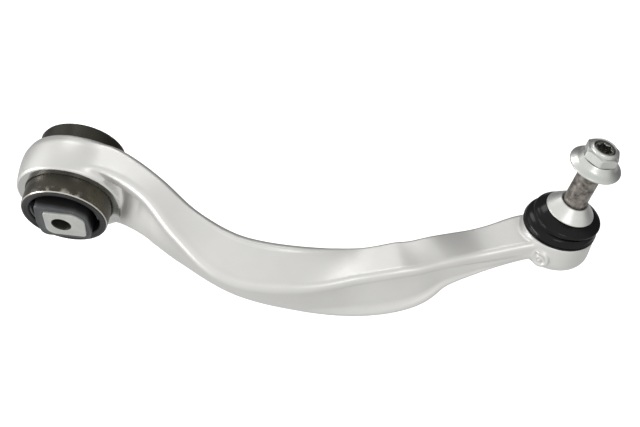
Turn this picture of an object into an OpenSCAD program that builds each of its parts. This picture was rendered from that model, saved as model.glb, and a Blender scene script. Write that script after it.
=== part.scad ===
// Front lower control arm: a curved forged arm with a hydraulic bush at one end and a
// ball joint with its flange nut at the other.
// The origin is the bush centre, +Y runs along the bush bolt, +X points at the ball centre,
// and +Z is the normal of the arm's broad face at the bush end.

/* [Layout] */
// Distance from the bush centre to the ball centre
arm_length = 328.4; // [325:0.1:332]
// Lean of the ball housing's axis away from +Z
housing_lean = 22.5; // [20:0.5:25]
// Direction of that lean, measured from +X towards +Y
housing_heading = 56; // [50:1:60]
// Lean of the ball stud's axis away from +Z
stud_lean = 26; // [24:0.5:28]
// Direction of that lean, measured from +X towards +Y
stud_heading = 42.5; // [40:0.5:45]

/* [Bush] */
// Outer radius of the steel sleeve
sleeve_r = 30; // [28:0.5:32]
// Wall thickness of the steel sleeve
sleeve_wall = 2; // [1.5:0.1:2.5]
// Length of the steel sleeve
sleeve_len = 55.4; // [52:0.1:58]
// Length of the inner core, which stands out of the sleeve at both ends
core_len = 69.2; // [64:0.1:72]
// Radius of the bolt bore through the core
bolt_r = 6.3; // [6:0.1:6.6]
// Thickness of the rubber that covers the core
cover_t = 5; // [4:0.25:5.5]
// Inner radius of the end rings
ring_bore_r = 24.2; // [24:0.1:25]

/* [Arm] */
// Outer radius of the eye that holds the bush
eye_r = 36.4; // [35:0.1:38]
// Front face of the eye along Y
eye_front = -13.5; // [-15:0.5:-12]
// Rear face of the eye along Y
eye_rear = 15.5; // [14:0.5:17]
// Edge radius of the forging
forged_r = 5; // [3:0.5:6]

/* [Ball joint] */
// Radius of the ball
ball_r = 13.5; // [13.2:0.1:13.7]
// Running clearance between the ball and its seat
ball_gap = 0.04; // [0.02:0.01:0.08]
// Outer radius of the ball housing
housing_r = 24; // [23.5:0.1:24.5]
// Radius of the bore that holds the seat
seat_bore_r = 16; // [15.8:0.1:16.4]
// Radius of the stud's shank
shank_r = 7.7; // [7.5:0.05:7.9]
// Height of the shank's shoulder above the ball centre
shank_top = 60.4; // [59:0.2:61]
// Radius of the stud's thread
thread_r = 7; // [6.9:0.05:7.1]
// Height of the stud's end above the ball centre
stud_top = 77; // [76.4:0.1:77.2]
// Rim radius of the cone ring on the stud
cone_r = 16.2; // [16:0.1:16.6]

/* [Nut] */
// Width of the nut across its flats
nut_flats = 21; // [20:0.5:22]
// Rim radius of the captive washer
washer_r = 17.3; // [17:0.1:17.6]
// Running clearance between the nut, the washer and the thread
nut_gap = 0.05; // [0.03:0.01:0.08]

/* [Hidden] */
$fn = 96;
eps = 0.01;
free_gap = 0.3;

// Bush
sleeve_in_r = sleeve_r - sleeve_wall;
sleeve_half = sleeve_len / 2;
core_half = core_len / 2;
cover_half = core_half - 1.4;
cover_r = ring_bore_r - 1;
cover_side = 19.4;
ring_face = sleeve_half - 0.4;
ring_depth = 8;
ring_in = ring_face - ring_depth;
cage_wall = 1.6;
cage_r = sleeve_in_r - cage_wall;
window_half = 11;
channel_half_len = 9;
channel_r = 23.6;
pad_t = 1.5;
pad_from = -12;
pad_span = 38;
spring_half = ring_in - 2;
stop_half = 9;
chamber_half = 12;
// The core's outline across the bolt: corners [x, z] and their radii
core_corners = [[-13, -13.5], [15, -13.5], [17.5, 6], [11, 12.5], [-11, 12.5]];
core_radii = [4, 3, 6, 6, 3];

// Ball joint, heights measured from the ball centre
housing_top = 6.6;
housing_bottom = -15.5;
housing_round = 8.5;
lip_r = 15;
lip_low = 2;
cap_top = -ball_r - 0.2;
cap_t = 1.2;
roll_r = 14.6;
grease_r = 6;
neck_r = 6.4;
neck_top = 27;
cone_rim = 22.6;
cone_top = 30.6;
relief_r = 6.1;
thread_low = 62.4;
socket_flats = 7;
socket_depth = 7;
pad_heading = 194;
pad_z = -5;
boot_r = 24;
boot_base_top = 10;
boot_wall = 2.2;
band_r = 24.4;
groove_r = 21.2;
bulge_r = 22.6;
bulge_z = 16.4;
boot_split = 14.4;
boot_lip_r = 13.4;
boot_fold = [bulge_r - 1.8, bulge_z + 2.8];
boot_fold_in = [bulge_r - 4.4, bulge_z + 1.6];

// Nut, heights measured from the ball centre
washer_low = 61.6;
washer_widest = 62.8;
washer_top = 69.1;
hex_low = washer_top + free_gap;
hex_top = 74.6;
crown_low = 75.6;
nut_top = 77.9;
hex_turn = 44;
crown_r = 8.8;
spigot_r = 8.5;
insert_low = 74.4;
insert_top = 77;
insert_r = 8;

// The arm's sections from the bush to the ball joint:
// [x, y, z, roll of the section, width along the broad face, depth]
arm_sections = [
    [8, 1, 0, 2, 27, 68],
    [30, -1, 4, 5, 24, 58],
    [60, -16, 7, 8, 21, 46],
    [90, -35, 4, -4, 26, 40],
    [125, -50, 0, -18, 34, 36],
    [165, -54, -3, -8, 32, 37],
    [205, -50, -6, 14, 29, 38],
    [235, -42, -3, 18, 30, 36],
    [255, -31, 0, 14, 28, 25],
    [280, -18.2, -1, 20, 30, 17],
    [307, -6.6, 1.9, 19, 34, 14],
    [319, -3.6, 0.9, 19, 34, 14]];
steps = 4;
root_x = 46;

// ---- functions ----

function unit(v) = v / norm(v);

// Catmull-Rom value between rows i and i+1 of a table
function row(t, i) = t[max(0, min(len(t) - 1, i))];
function blend_row(t, i, u) =
    let (a = row(t, i - 1), b = row(t, i), c = row(t, i + 1), d = row(t, i + 2))
    0.5 * (2 * b + (c - a) * u + (2 * a - 5 * b + 4 * c - d) * u * u
           + (3 * b - 3 * c + d - a) * u * u * u);

// All the sections along the arm, smoothly between the driving ones
arm_rows = [for (i = [0 : len(arm_sections) - 2], k = [0 : steps - 1])
                blend_row(arm_sections, i, k / steps),
            arm_sections[len(arm_sections) - 1]];

function spot(r) = [r[0], r[1], r[2]];
function heading(t, i) = unit(spot(row(t, i + 1)) - spot(row(t, i - 1)));

// Points round a rectangle of the given width and depth with rounded corners
function round_box(w, d, r, n = 4) =
    [for (c = [0 : 3], k = [0 : n])
        let (a = 90 * (c + k / n),
             sx = (c == 0 || c == 3) ? 1 : -1,
             sz = (c < 2) ? 1 : -1)
        [sx * (w / 2 - r) + r * cos(a), sz * (d / 2 - r) + r * sin(a)]];

// One section of the arm as points in space
function arm_ring(t, i) =
    let (r = t[i],
         d = heading(t, i),
         up = unit([0, 0, 1] - d[2] * d),
         side = cross(up, d),
         n = cos(r[3]) * up + sin(r[3]) * side,
         b = cross(n, d))
    [for (q = round_box(r[4], r[5], forged_r)) spot(r) + q[0] * b + q[1] * n];

// Points of a polygon whose corners are rounded, each with its own radius
function fillet(a, p, b, r, n = 6) =
    let (u = unit(a - p), v = unit(b - p),
         half = acos(max(-1, min(1, u * v))) / 2,
         c = p + unit(u + v) * r / sin(half),
         s = p + u * r / tan(half) - c,
         e = p + v * r / tan(half) - c,
         turn = 180 - 2 * half,
         way = (s[0] * e[1] - s[1] * e[0]) > 0 ? 1 : -1)
    [for (k = [0 : n])
        let (q = way * turn * k / n)
        c + [s[0] * cos(q) - s[1] * sin(q), s[0] * sin(q) + s[1] * cos(q)]];
function rounded(p, r) =
    [for (i = [0 : len(p) - 1])
        each fillet(p[(i + len(p) - 1) % len(p)], p[i], p[(i + 1) % len(p)], r[i])];

// The same polygon's corners moved outwards by t
function grown(p, t) =
    [for (i = [0 : len(p) - 1])
        let (a = p[(i + len(p) - 1) % len(p)], b = p[i], c = p[(i + 1) % len(p)],
             u = unit(b - a), v = unit(c - b),
             m = [u[1], -u[0]], n = [v[1], -v[0]])
        b + (m + n) * t / (1 + m * n)];
function more(r, t) = [for (x = r) x + t];

// ---- helpers ----

module along_bush() {
    rotate([90, 0, 0]) children();
}

module at_housing() {
    translate([arm_length, 0, 0]) rotate([0, housing_lean, housing_heading]) children();
}

module at_stud() {
    translate([arm_length, 0, 0]) rotate([0, stud_lean, stud_heading]) children();
}

module tube(r_out, r_in, z0, z1) {
    rotate_extrude() translate([r_in, z0]) square([r_out - r_in, z1 - z0]);
}

// A prism along the bush with the core's outline, grown by t
module core_prism(t, y0, y1) {
    along_bush()
        translate([0, 0, -y1])
            linear_extrude(y1 - y0)
                polygon(rounded(grown(core_corners, t), more(core_radii, t)));
}

// ---- bush, on the bolt ----

module bush_core() {
    color("silver") difference() {
        core_prism(0, -core_half, core_half);
        along_bush() cylinder(h = core_len + 2, r = bolt_r, center = true);
    }
}

// The cover's outline is cut back on the +X side and inside the rings' bore
module cover_prism(y0, y1) {
    intersection() {
        core_prism(cover_t, y0, y1);
        along_bush() cylinder(h = core_len, r = cover_r, center = true);
        translate([cover_side - 2 * sleeve_r, -core_len / 2, -sleeve_r])
            cube([2 * sleeve_r, core_len, 2 * sleeve_r]);
    }
}

module core_cover() {
    color([0.17, 0.17, 0.18]) difference() {
        cover_prism(-cover_half, cover_half);
        core_prism(0, -core_half, core_half);
        core_prism(cover_t + 1, -stop_half, stop_half);
    }
}

module travel_stop() {
    color([0.3, 0.3, 0.32]) difference() {
        cover_prism(-stop_half, stop_half);
        core_prism(0, -core_half, core_half);
    }
}

// ---- bush, in the arm's eye ----

module bush_sleeve() {
    color([0.36, 0.32, 0.28]) along_bush() rotate_extrude()
        polygon([[sleeve_in_r, -sleeve_half], [sleeve_r - 0.8, -sleeve_half],
                 [sleeve_r, -sleeve_half + 0.8], [sleeve_r, sleeve_half - 0.8],
                 [sleeve_r - 0.8, sleeve_half], [sleeve_in_r, sleeve_half]]);
}

module end_ring() {
    along_bush() rotate_extrude()
        polygon([[ring_bore_r, ring_in], [sleeve_in_r, ring_in], [sleeve_in_r, ring_face],
                 [ring_bore_r + 0.8, ring_face], [ring_bore_r, ring_face - 0.8]]);
}

module end_ring_front() {
    color([0.2, 0.2, 0.21]) end_ring();
}

module end_ring_rear() {
    color([0.2, 0.2, 0.21]) mirror([0, 1, 0]) end_ring();
}

// Two curved rubber pads inside an end ring, which stop the core sideways
module bump_pads() {
    pad_low = ring_in + 1;
    pad_high = ring_face - 1;
    for (side = [0, 180])
        along_bush() rotate([0, 0, side + pad_from])
            rotate_extrude(angle = pad_span)
                translate([ring_bore_r - pad_t, pad_low]) square([pad_t, pad_high - pad_low]);
}

module bump_pads_front() {
    color([0.25, 0.25, 0.26]) bump_pads();
}

module bump_pads_rear() {
    color([0.25, 0.25, 0.26]) mirror([0, 1, 0]) bump_pads();
}

module window_cage() {
    color([0.55, 0.56, 0.58]) along_bush() difference() {
        tube(sleeve_in_r, cage_r, -ring_in, ring_in);
        for (side = [0, 180])
            rotate([0, 0, side])
                translate([-16, 0, -window_half]) cube([32, sleeve_r + 5, 2 * window_half]);
    }
}

// Half of the ring with the groove that joins the two fluid chambers
module fluid_channel() {
    along_bush() intersection() {
        rotate_extrude()
            polygon([[channel_r, -channel_half_len], [cage_r, -channel_half_len],
                     [cage_r, -3], [cage_r - 1.4, -3], [cage_r - 1.4, 3], [cage_r, 3],
                     [cage_r, channel_half_len], [channel_r, channel_half_len]]);
        translate([-sleeve_r, eps, -channel_half_len - 1])
            cube([2 * sleeve_r, sleeve_r, 2 * channel_half_len + 2]);
    }
}

module fluid_channel_upper() {
    color([0.75, 0.73, 0.66]) fluid_channel();
}

module fluid_channel_lower() {
    color([0.75, 0.73, 0.66]) mirror([0, 0, 1]) fluid_channel();
}

// The rubber between the core's cover and the cage, with a fluid chamber above and below
module rubber_spring() {
    color([0.09, 0.09, 0.09]) difference() {
        along_bush() tube(channel_r, 12, -spring_half, spring_half);
        core_prism(cover_t + 0.2, -spring_half - 1, spring_half + 1);
        for (up = [-1, 1])
            translate([-chamber_half, -channel_half_len + 1, up > 0 ? 0 : -sleeve_r])
                cube([2 * chamber_half, 2 * channel_half_len - 2, sleeve_r]);
    }
}

// ---- arm ----

module arm_sweep() {
    n = len(arm_rows);
    m = len(round_box(20, 20, forged_r));
    points = [for (i = [0 : n - 1]) each arm_ring(arm_rows, i)];
    sides = [for (i = [0 : n - 2], k = [0 : m - 1])
                let (a = i * m + k, b = i * m + (k + 1) % m)
                each [[a, b + m, b], [a, a + m, b + m]]];
    start = [for (k = [0 : m - 1]) k];
    finish = [for (k = [m - 1 : -1 : 0]) (n - 1) * m + k];
    polyhedron(points, concat([start, finish], sides), convexity = 6);
}

// The eye is a barrel: its wall is thickest halfway along the bush
module eye() {
    along_bush() rotate_extrude()
        polygon([[sleeve_r - 4, -eye_rear], [eye_r - 3, -eye_rear], [eye_r - 0.5, -eye_rear + 3],
                 [eye_r + 1, -eye_rear + 8], [eye_r + 1.6, 0], [eye_r + 1, -eye_front - 7],
                 [eye_r, -eye_front - 3], [eye_r - 2.6, -eye_front],
                 [sleeve_r - 4, -eye_front]]);
}

module housing_body() {
    low = housing_bottom + housing_round;
    rotate_extrude()
        polygon(concat([[0, housing_top], [0, housing_bottom]],
                       [for (a = [-90 : 15 : 0])
                           [housing_r - housing_round + housing_round * cos(a),
                            low + housing_round * sin(a)]],
                       [[housing_r, housing_top]]));
}

module housing_cavity() {
    rotate_extrude()
        polygon([[0, housing_bottom - 1], [roll_r, housing_bottom - 1],
                 [roll_r, cap_top - cap_t], [seat_bore_r, cap_top - cap_t],
                 [seat_bore_r, lip_low], [lip_r, lip_low], [lip_r, housing_top + 20],
                 [0, housing_top + 20]]);
}

// Round locating pad on the side of the housing
module locating_pad() {
    rotate([0, 0, pad_heading]) translate([housing_r - 5, 0, pad_z]) rotate([0, 90, 0])
        cylinder(h = 6, r1 = 6.6, r2 = 5.4);
}

// The eye with the arm's root, the bar and the housing are one forging: they meet face to face
module arm_eye() {
    color([0.86, 0.86, 0.84]) difference() {
        union() {
            eye();
            intersection() {
                arm_sweep();
                translate([0, -sleeve_len, -2 * eye_r]) cube([root_x, 2 * sleeve_len, 4 * eye_r]);
            }
        }
        along_bush() cylinder(h = 3 * sleeve_len, r = sleeve_r, center = true);
    }
}

module arm_bar() {
    color([0.86, 0.86, 0.84]) difference() {
        arm_sweep();
        translate([root_x - 100, -sleeve_len, -2 * eye_r]) cube([100, 2 * sleeve_len, 4 * eye_r]);
        at_housing() housing_body();
        at_housing() housing_cavity();
    }
}

module ball_housing() {
    color([0.86, 0.86, 0.84]) at_housing() difference() {
        union() {
            housing_body();
            locating_pad();
        }
        housing_cavity();
    }
}

// ---- ball housing ----

module ball_seat() {
    color([0.9, 0.89, 0.84]) at_housing() difference() {
        rotate_extrude()
            polygon([[grease_r, cap_top], [seat_bore_r, cap_top], [seat_bore_r, lip_low],
                     [lip_r, lip_low], [lip_r, housing_top], [grease_r, housing_top]]);
        sphere(r = ball_r + ball_gap);
    }
}

module housing_end_cap() {
    color([0.6, 0.6, 0.62]) at_housing()
        translate([0, 0, cap_top - cap_t]) cylinder(h = cap_t, r = seat_bore_r);
}

// ---- boot ----

module boot_base() {
    color([0.07, 0.07, 0.08]) at_housing() rotate_extrude()
        polygon([[boot_r - 4, housing_top], [boot_r, housing_top],
                 [boot_r + 0.2, housing_top + 1.4], [boot_r - 0.2, boot_base_top - 0.8],
                 [boot_r - 1.2, boot_base_top], [boot_r - 4, boot_base_top]]);
}

module boot_clamp_ring() {
    color([0.5, 0.5, 0.52]) at_housing()
        tube(boot_r - 4, boot_r - 5.6, housing_top, housing_top + 2.4);
}

// The boot's side: a broad band above the fixed rim, a groove, and the bulge
module boot_lower() {
    low = boot_base_top + eps;
    color([0.07, 0.07, 0.08]) {
        difference() {
            at_housing() rotate_extrude()
                polygon([[band_r - boot_wall, low], [band_r, low], [band_r - 0.2, low + 2],
                         [band_r - 1.2, low + 3.4], [groove_r, low + 4.2], [groove_r, 18],
                         [groove_r - boot_wall, 18], [groove_r - boot_wall, low + 3.4]]);
            at_stud() translate([0, 0, boot_split]) cylinder(h = 30, r = 40);
        }
        at_stud() rotate_extrude()
            polygon([[groove_r - boot_wall, boot_split], [groove_r, boot_split],
                     [bulge_r, bulge_z - 0.8], [bulge_r, bulge_z + 1], boot_fold,
                     boot_fold_in, [bulge_r - boot_wall, bulge_z - 0.4]]);
    }
}

// The boot's top, from the bulge in to the lip on the stud
module boot_upper() {
    color([0.07, 0.07, 0.08]) at_stud() rotate_extrude()
        polygon([boot_fold, [boot_lip_r + 3, cone_rim - 0.4], [boot_lip_r, cone_rim - 0.4],
                 [boot_lip_r, cone_rim - 2.4], boot_fold_in]);
}

module boot_lip_spring() {
    color([0.62, 0.62, 0.64]) at_stud() rotate_extrude()
        translate([boot_lip_r - 0.9, cone_rim - 1.6]) circle(r = 0.8, $fn = 24);
}

// ---- stud ----

module ball_stud() {
    color([0.5, 0.49, 0.47]) at_stud() difference() {
        union() {
            sphere(r = ball_r);
            rotate_extrude()
                polygon([[0, 0], [neck_r, 0], [neck_r, neck_top - 5], [shank_r, neck_top],
                         [shank_r, shank_top - 0.6], [shank_r - 0.6, shank_top],
                         [relief_r, shank_top], [relief_r, thread_low - 0.9],
                         [thread_r, thread_low], [thread_r, stud_top - 1.2],
                         [thread_r - 1.2, stud_top], [0, stud_top]]);
        }
        translate([0, 0, stud_top - socket_depth])
            cylinder(h = socket_depth + 1, r = socket_flats / sqrt(3), $fn = 6);
    }
}

// The bright cone round the foot of the shank, which the boot's lip seals against
module cone_ring() {
    color([0.88, 0.88, 0.86]) at_stud() rotate_extrude()
        polygon([[neck_r + 2.4, cone_rim], [cone_r - 0.5, cone_rim], [cone_r, cone_rim + 0.5],
                 [cone_r - 0.2, cone_rim + 1.2], [shank_r + 1.5, cone_top],
                 [shank_r + 1, cone_top], [shank_r + 1, neck_top + 1.2],
                 [shank_r, neck_top + 1], [shank_r, neck_top],
                 [neck_r + 2.4, neck_top - 1]]);
}

// ---- nut ----

module nut_washer() {
    color([0.8, 0.81, 0.8]) at_stud() rotate_extrude()
        polygon([[spigot_r + 1.2, washer_low], [washer_r - 0.8, washer_low],
                 [washer_r, washer_widest - 0.5], [washer_r, washer_widest + 0.3],
                 [washer_r - 0.6, washer_widest + 1], [washer_r - 2.6, washer_widest + 2.6],
                 [washer_r - 4.3, washer_widest + 4.2], [washer_r - 4.9, washer_top],
                 [spigot_r + nut_gap, washer_top],
                 [spigot_r + nut_gap, washer_low + 2.4],
                 [spigot_r + 1.2, washer_low + 2.4]]);
}

module lock_nut() {
    corner_r = nut_flats / sqrt(3);
    color([0.82, 0.83, 0.82]) at_stud() difference() {
        union() {
            intersection() {
                translate([0, 0, hex_low]) rotate([0, 0, hex_turn])
                    cylinder(h = crown_low - hex_low, r = corner_r, $fn = 6);
                rotate_extrude()
                    polygon([[0, hex_low], [corner_r + 1, hex_low], [corner_r + 1, hex_top - 1.2],
                             [nut_flats / 2 - 0.2, crown_low], [0, crown_low]]);
            }
            rotate_extrude()
                polygon([[0, washer_low + free_gap], [spigot_r + 0.7, washer_low + free_gap],
                         [spigot_r + 0.7, washer_low + 1.6], [spigot_r, washer_low + 2],
                         [spigot_r, hex_low + eps], [crown_r, crown_low - eps],
                         [crown_r, nut_top - 1.2], [crown_r - 0.4, nut_top - 0.4],
                         [crown_r - 1.2, nut_top], [0, nut_top]]);
        }
        translate([0, 0, washer_low - 1]) cylinder(h = 40, r = thread_r + nut_gap);
        tube(insert_r, 0.1, insert_low, insert_top);
    }
}

module nut_lock_insert() {
    color([0.85, 0.85, 0.8]) at_stud() tube(insert_r, thread_r + nut_gap, insert_low, insert_top);
}

bush_core();
core_cover();
travel_stop();
bush_sleeve();
end_ring_front();
end_ring_rear();
bump_pads_front();
bump_pads_rear();
window_cage();
fluid_channel_upper();
fluid_channel_lower();
rubber_spring();
arm_eye();
arm_bar();
ball_housing();
ball_seat();
housing_end_cap();
boot_base();
boot_clamp_ring();
boot_lower();
boot_upper();
boot_lip_spring();
ball_stud();
cone_ring();
nut_washer();
lock_nut();
nut_lock_insert();
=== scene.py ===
"""Control arm: a forged arm with a hydraulic bush and a ball joint, built around the CAD frame."""

import math

import bmesh
import bpy
import numpy as np
from mathutils import Matrix, Vector


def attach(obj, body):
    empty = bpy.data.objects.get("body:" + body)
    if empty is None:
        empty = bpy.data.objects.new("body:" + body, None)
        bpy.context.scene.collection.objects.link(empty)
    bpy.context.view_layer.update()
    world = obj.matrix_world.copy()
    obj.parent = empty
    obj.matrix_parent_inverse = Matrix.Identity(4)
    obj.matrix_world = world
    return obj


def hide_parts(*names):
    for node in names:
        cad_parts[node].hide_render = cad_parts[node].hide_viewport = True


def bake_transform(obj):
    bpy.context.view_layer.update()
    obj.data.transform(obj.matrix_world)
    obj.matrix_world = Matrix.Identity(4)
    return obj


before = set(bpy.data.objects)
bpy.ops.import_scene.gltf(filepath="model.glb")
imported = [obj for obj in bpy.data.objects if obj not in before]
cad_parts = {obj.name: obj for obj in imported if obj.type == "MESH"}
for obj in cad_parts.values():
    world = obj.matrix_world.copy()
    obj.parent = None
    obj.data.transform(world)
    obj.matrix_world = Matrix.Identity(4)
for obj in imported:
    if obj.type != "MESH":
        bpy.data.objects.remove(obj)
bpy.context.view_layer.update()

MM = 0.001
GRID = 0.92   # step of the forging's mesh


# ---- frames, in millimetres ----

def unit(v):
    v = np.asarray(v, float)
    return v / np.linalg.norm(v)


def lean(tilt, heading):
    """Unit vector that leans tilt degrees from +Z towards heading."""
    t, a = math.radians(tilt), math.radians(heading)
    return np.array([math.sin(t) * math.cos(a), math.sin(t) * math.sin(a), math.cos(t)])


BALL = np.array([328.4, 0.0, 0.0])
HOUSING_LEAN = (22.5, 56)   # tilt from +Z and heading, in degrees
STUD_LEAN = (26, 42.5)
HOUSING_AXIS = lean(*HOUSING_LEAN)
STUD_AXIS = lean(*STUD_LEAN)
TILT_AXIS = unit(np.cross(HOUSING_AXIS, STUD_AXIS))
REST_TILT = math.acos(float(HOUSING_AXIS @ STUD_AXIS))


def headed(tilt, heading):
    """The frame that the CAD leans: turned about Y, then about Z."""
    t, a = math.radians(tilt), math.radians(heading)
    ry = np.array([[math.cos(t), 0, math.sin(t)], [0, 1, 0], [-math.sin(t), 0, math.cos(t)]])
    rz = np.array([[math.cos(a), -math.sin(a), 0], [math.sin(a), math.cos(a), 0], [0, 0, 1]])
    return rz @ ry


HOUSING = headed(*HOUSING_LEAN)
STUD = headed(*STUD_LEAN)
BUSH = np.array([[1.0, 0, 0], [0, 0, 1], [0, 1, 0]])   # local z runs along +Y


# ---- mesh helpers ----

def make(name, verts, faces, body=None, material=None, slot=None, replaces=(), sharp=35):
    """A mesh object from millimetre points, smooth except at edges sharper than sharp degrees."""
    mesh = bpy.data.meshes.new(name)
    mesh.from_pydata((np.asarray(verts, float) * MM).tolist(), [], [list(f) for f in faces])
    mesh.validate()
    mesh.update()
    mesh.polygons.foreach_set("use_smooth", [True] * len(mesh.polygons))
    if sharp:
        mesh.set_sharp_from_angle(angle=math.radians(sharp))
    obj = bpy.data.objects.new(name, mesh)
    bpy.context.scene.collection.objects.link(obj)
    if material:
        mesh.materials.append(material)
    if body:
        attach(obj, body)
    if replaces:
        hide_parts(*replaces)
    return obj


def loops(rings, closed=True):
    """Faces that join rings of equal length, in order."""
    n = len(rings[0])
    verts = np.concatenate(rings)
    faces = []
    last = len(rings) if closed else len(rings) - 1
    for k in range(last):
        a, b = k * n, ((k + 1) % len(rings)) * n
        for i in range(n):
            j = (i + 1) % n
            faces.append((a + i, a + j, b + j, b + i))
    return verts, faces


def rounded(points, seg=5):
    """A closed outline from corners (x, y, radius), each replaced by an arc."""
    out = []
    n = len(points)
    for i in range(n):
        p = np.array(points[i][:2], float)
        r = points[i][2] if len(points[i]) > 2 else 0
        a = np.array(points[i - 1][:2], float) - p
        b = np.array(points[(i + 1) % n][:2], float) - p
        la, lb = np.linalg.norm(a), np.linalg.norm(b)
        if r <= 0 or la < 1e-6 or lb < 1e-6:
            out.append(p)
            continue
        a, b = a / la, b / lb
        half = math.acos(max(-1, min(1, float(a @ b)))) / 2
        if half > math.radians(88):
            out.append(p)
            continue
        cut = min(r / math.tan(half), 0.48 * la, 0.48 * lb)
        r = cut * math.tan(half)
        c = p + unit(a + b) * r / math.sin(half)
        s, e = p + a * cut - c, p + b * cut - c
        turn = math.atan2(s[0] * e[1] - s[1] * e[0], float(s @ e))
        for k in range(seg + 1):
            q = turn * k / seg
            out.append(c + [s[0] * math.cos(q) - s[1] * math.sin(q),
                            s[0] * math.sin(q) + s[1] * math.cos(q)])
    return np.array(out)


def circle(t, r, z):
    """Points at angles t, radius r and height z, where r and z are numbers or one value a point."""
    r, z = np.broadcast_to(r, len(t)), np.broadcast_to(z, len(t))
    return np.stack([r * np.cos(t), r * np.sin(t), z], 1)


def lathe(name, profile, basis, origin=(0, 0, 0), n=128, seg=5, **kw):
    """A closed profile of (radius, height, corner radius) turned about the basis' third axis."""
    pts = rounded(profile, seg)
    area = sum(pts[i - 1][0] * pts[i][1] - pts[i][0] * pts[i - 1][1] for i in range(len(pts)))
    if area < 0:
        pts = pts[::-1]
    t = np.arange(n) * 2 * math.pi / n
    rings = []
    for r, z in pts:
        rings.append(circle(t, max(r, 0.0), z))
    verts, faces = loops(rings)
    verts = verts @ basis.T + np.asarray(origin, float)
    obj = make(name, verts, [f[::-1] for f in faces], **kw)
    weld(obj)
    return obj


def weld(obj, gap=0.004):
    """Merges points that lie on each other, such as a lathe's pole, and drops empty faces."""
    bm = bmesh.new()
    bm.from_mesh(obj.data)
    bmesh.ops.remove_doubles(bm, verts=bm.verts, dist=gap * MM)
    bmesh.ops.recalc_face_normals(bm, faces=bm.faces)
    bm.to_mesh(obj.data)
    bm.free()
    obj.data.update()


# ---- the forging as a distance field ----

# x, y, z of the arm's middle, roll in degrees, width across and depth of its section
SECTIONS = np.array([
    [8, 1, 0, 2, 27, 68], [30, -1, 4, 5, 24, 58], [60, -16, 7, 8, 21, 46], [90, -35, 4, -4, 26, 40],
    [125, -50, 0, -18, 34, 36], [165, -54, -3, -8, 32, 37], [205, -50, -6, 14, 29, 38],
    [235, -42, -3, 18, 30, 36], [255, -31, 0, 14, 28, 25], [280, -18.2, -1, 20, 30, 17],
    [307, -6.6, 1.9, 19, 34, 14], [319, -3.6, 0.9, 19, 34, 14]], float)
# x, recess depth of the front face, its brim's height, rear recess depth, hollow of the top face
RELIEF = np.array([
    [8, 0, 9, 0, 0], [30, 3, 9, 0, 0], [40, 7.5, 8.5, 1.5, 0], [54, 7.5, 8.5, 2.5, 0],
    [72, 4.0, 9.0, 3, 0.1], [90, 1.6, 10, 3, 0.7], [120, 0.6, 10, 3, 1.0], [150, 0.2, 8, 3, 0.9],
    [175, 1.2, 6.5, 3, 0.3], [200, 3.6, 5.8, 3, 0], [245, 4.0, 5.6, 3, 0], [275, 3.2, 6.2, 2, 0],
    [296, 1.2, 6.5, 0.6, 0], [306, 0, 7, 0, 0], [318, 0, 7, 0, 0]], float)
EDGE = 5.0
BRIM_EDGE = ([12, 45, 120, 160, 190, 285], [1.8, 5, 7, 7, 4.4, 3.6])
REAR_OUT = ([20, 60, 100, 130, 165, 190, 225, 262, 290], [0, 0.6, 0, 0.4, 1.8, 2.6, 2.4, 1.6, 0.2])
FRONT_OUT = ([20, 45, 62, 85, 110, 200], [0, 1.5, 2.6, 1.4, 0.8, 0.5])


def catmull(rows, steps):
    out = []
    for i in range(len(rows) - 1):
        a, b = rows[max(i - 1, 0)], rows[i]
        c, d = rows[i + 1], rows[min(i + 2, len(rows) - 1)]
        for k in range(steps):
            u = k / steps
            out.append(0.5 * (2 * b + (c - a) * u + (2 * a - 5 * b + 4 * c - d) * u * u
                              + (3 * b - 3 * c + d - a) * u ** 3))
    return np.array(out + [rows[-1]])


SPINE = catmull(SECTIONS, 16)
_d = np.gradient(SPINE[:, :3], axis=0)
STEP = np.linalg.norm(_d, axis=1)
DIR = _d / STEP[:, None]
_up = np.array([0, 0, 1.0]) - DIR[:, 2:] * DIR
_up /= np.linalg.norm(_up, axis=1)[:, None]
_side = np.cross(_up, DIR)
_roll = np.radians(SPINE[:, 3:4])
NORM = np.cos(_roll) * _up + np.sin(_roll) * _side
ACROSS = np.cross(NORM, DIR)
TRACK = np.concatenate([SPINE[:, :3], DIR, NORM, ACROSS, SPINE[:, 4:6], STEP[:, None],
                        np.stack([np.interp(SPINE[:, 0], RELIEF[:, 0], RELIEF[:, k])
                                  for k in (1, 2, 3, 4)], 1)], 1)


def smooth(x):
    x = np.clip(x, 0, 1)
    return x * x * (3 - 2 * x)


def smin(a, b, k):
    h = np.maximum(k - np.abs(a - b), 0) / k
    return np.minimum(a, b) - h * h * k * 0.25


def smax(a, b, k):
    return -smin(-a, -b, k)


def box2(x, y, hx, hy, r):
    """Distance to a rounded rectangle of half sizes hx and hy."""
    qx, qy = np.abs(x) - hx + r, np.abs(y) - hy + r
    return np.hypot(np.maximum(qx, 0), np.maximum(qy, 0)) + np.minimum(np.maximum(qx, qy), 0) - r


def on_track(t):
    i = np.clip(t.astype(int), 0, len(TRACK) - 2)
    f = (t - i)[:, None]
    return TRACK[i] * (1 - f) + TRACK[i + 1] * f


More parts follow.
